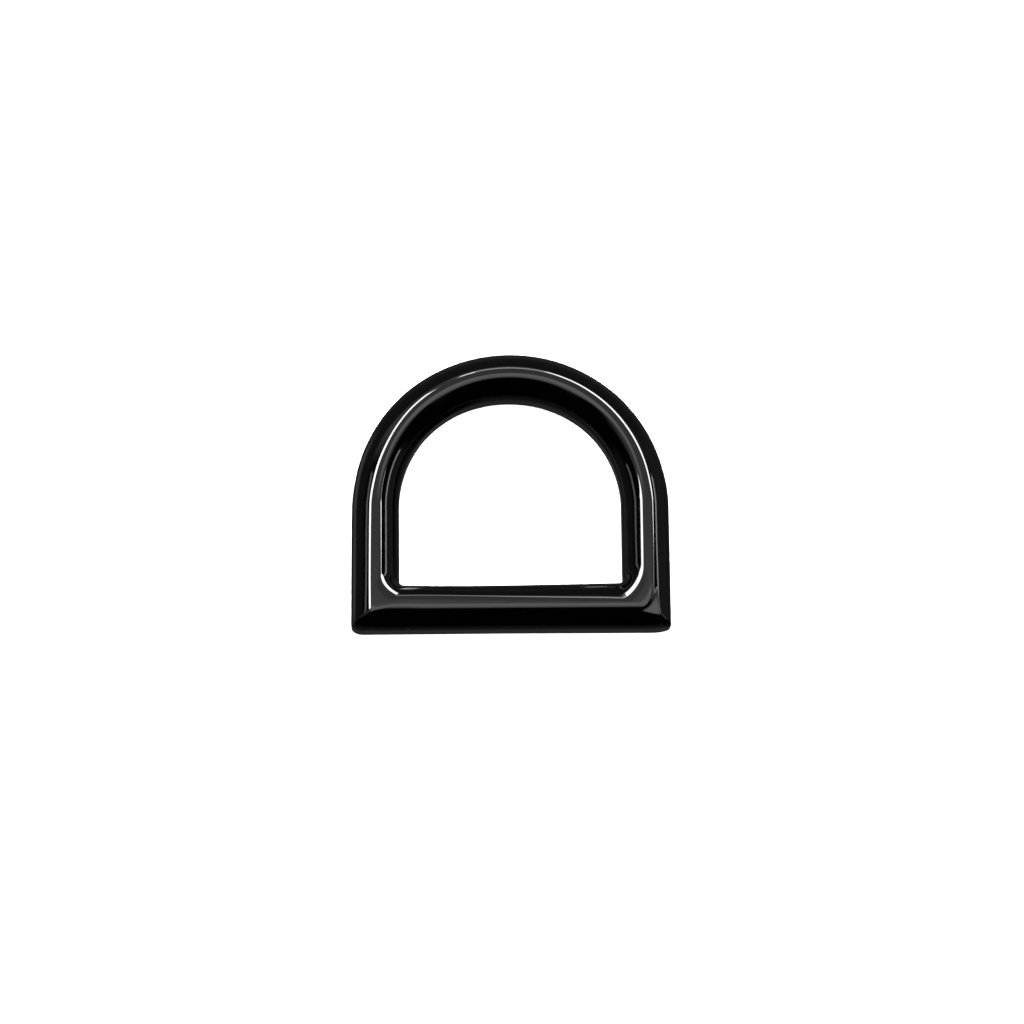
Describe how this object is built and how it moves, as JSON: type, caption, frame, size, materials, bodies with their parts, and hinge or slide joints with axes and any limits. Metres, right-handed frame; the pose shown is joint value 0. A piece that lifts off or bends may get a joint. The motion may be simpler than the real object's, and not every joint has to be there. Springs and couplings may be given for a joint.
{
  "type": "d ring",
  "caption": "D-shaped strap ring in one piece: a straight bar, short legs and a half-round arch, with a flat back and a front bevelled on both sides of a narrow land.",
  "frame": {"origin": "middle of the overall width and length, on the flat back that the ring lies on", "axes": "+X along the straight bar, +Y from the straight bar towards the top of the arch, +Z from the flat back to the bevelled front"},
  "size_m": [0.0282, 0.0254, 0.0035],
  "materials": {
    "black_lacquer": "gloss black lacquer over a polished casting"
  },
  "bodies": {
    "root": {"d_ring": "black_lacquer"}
  },
  "joints": []
}
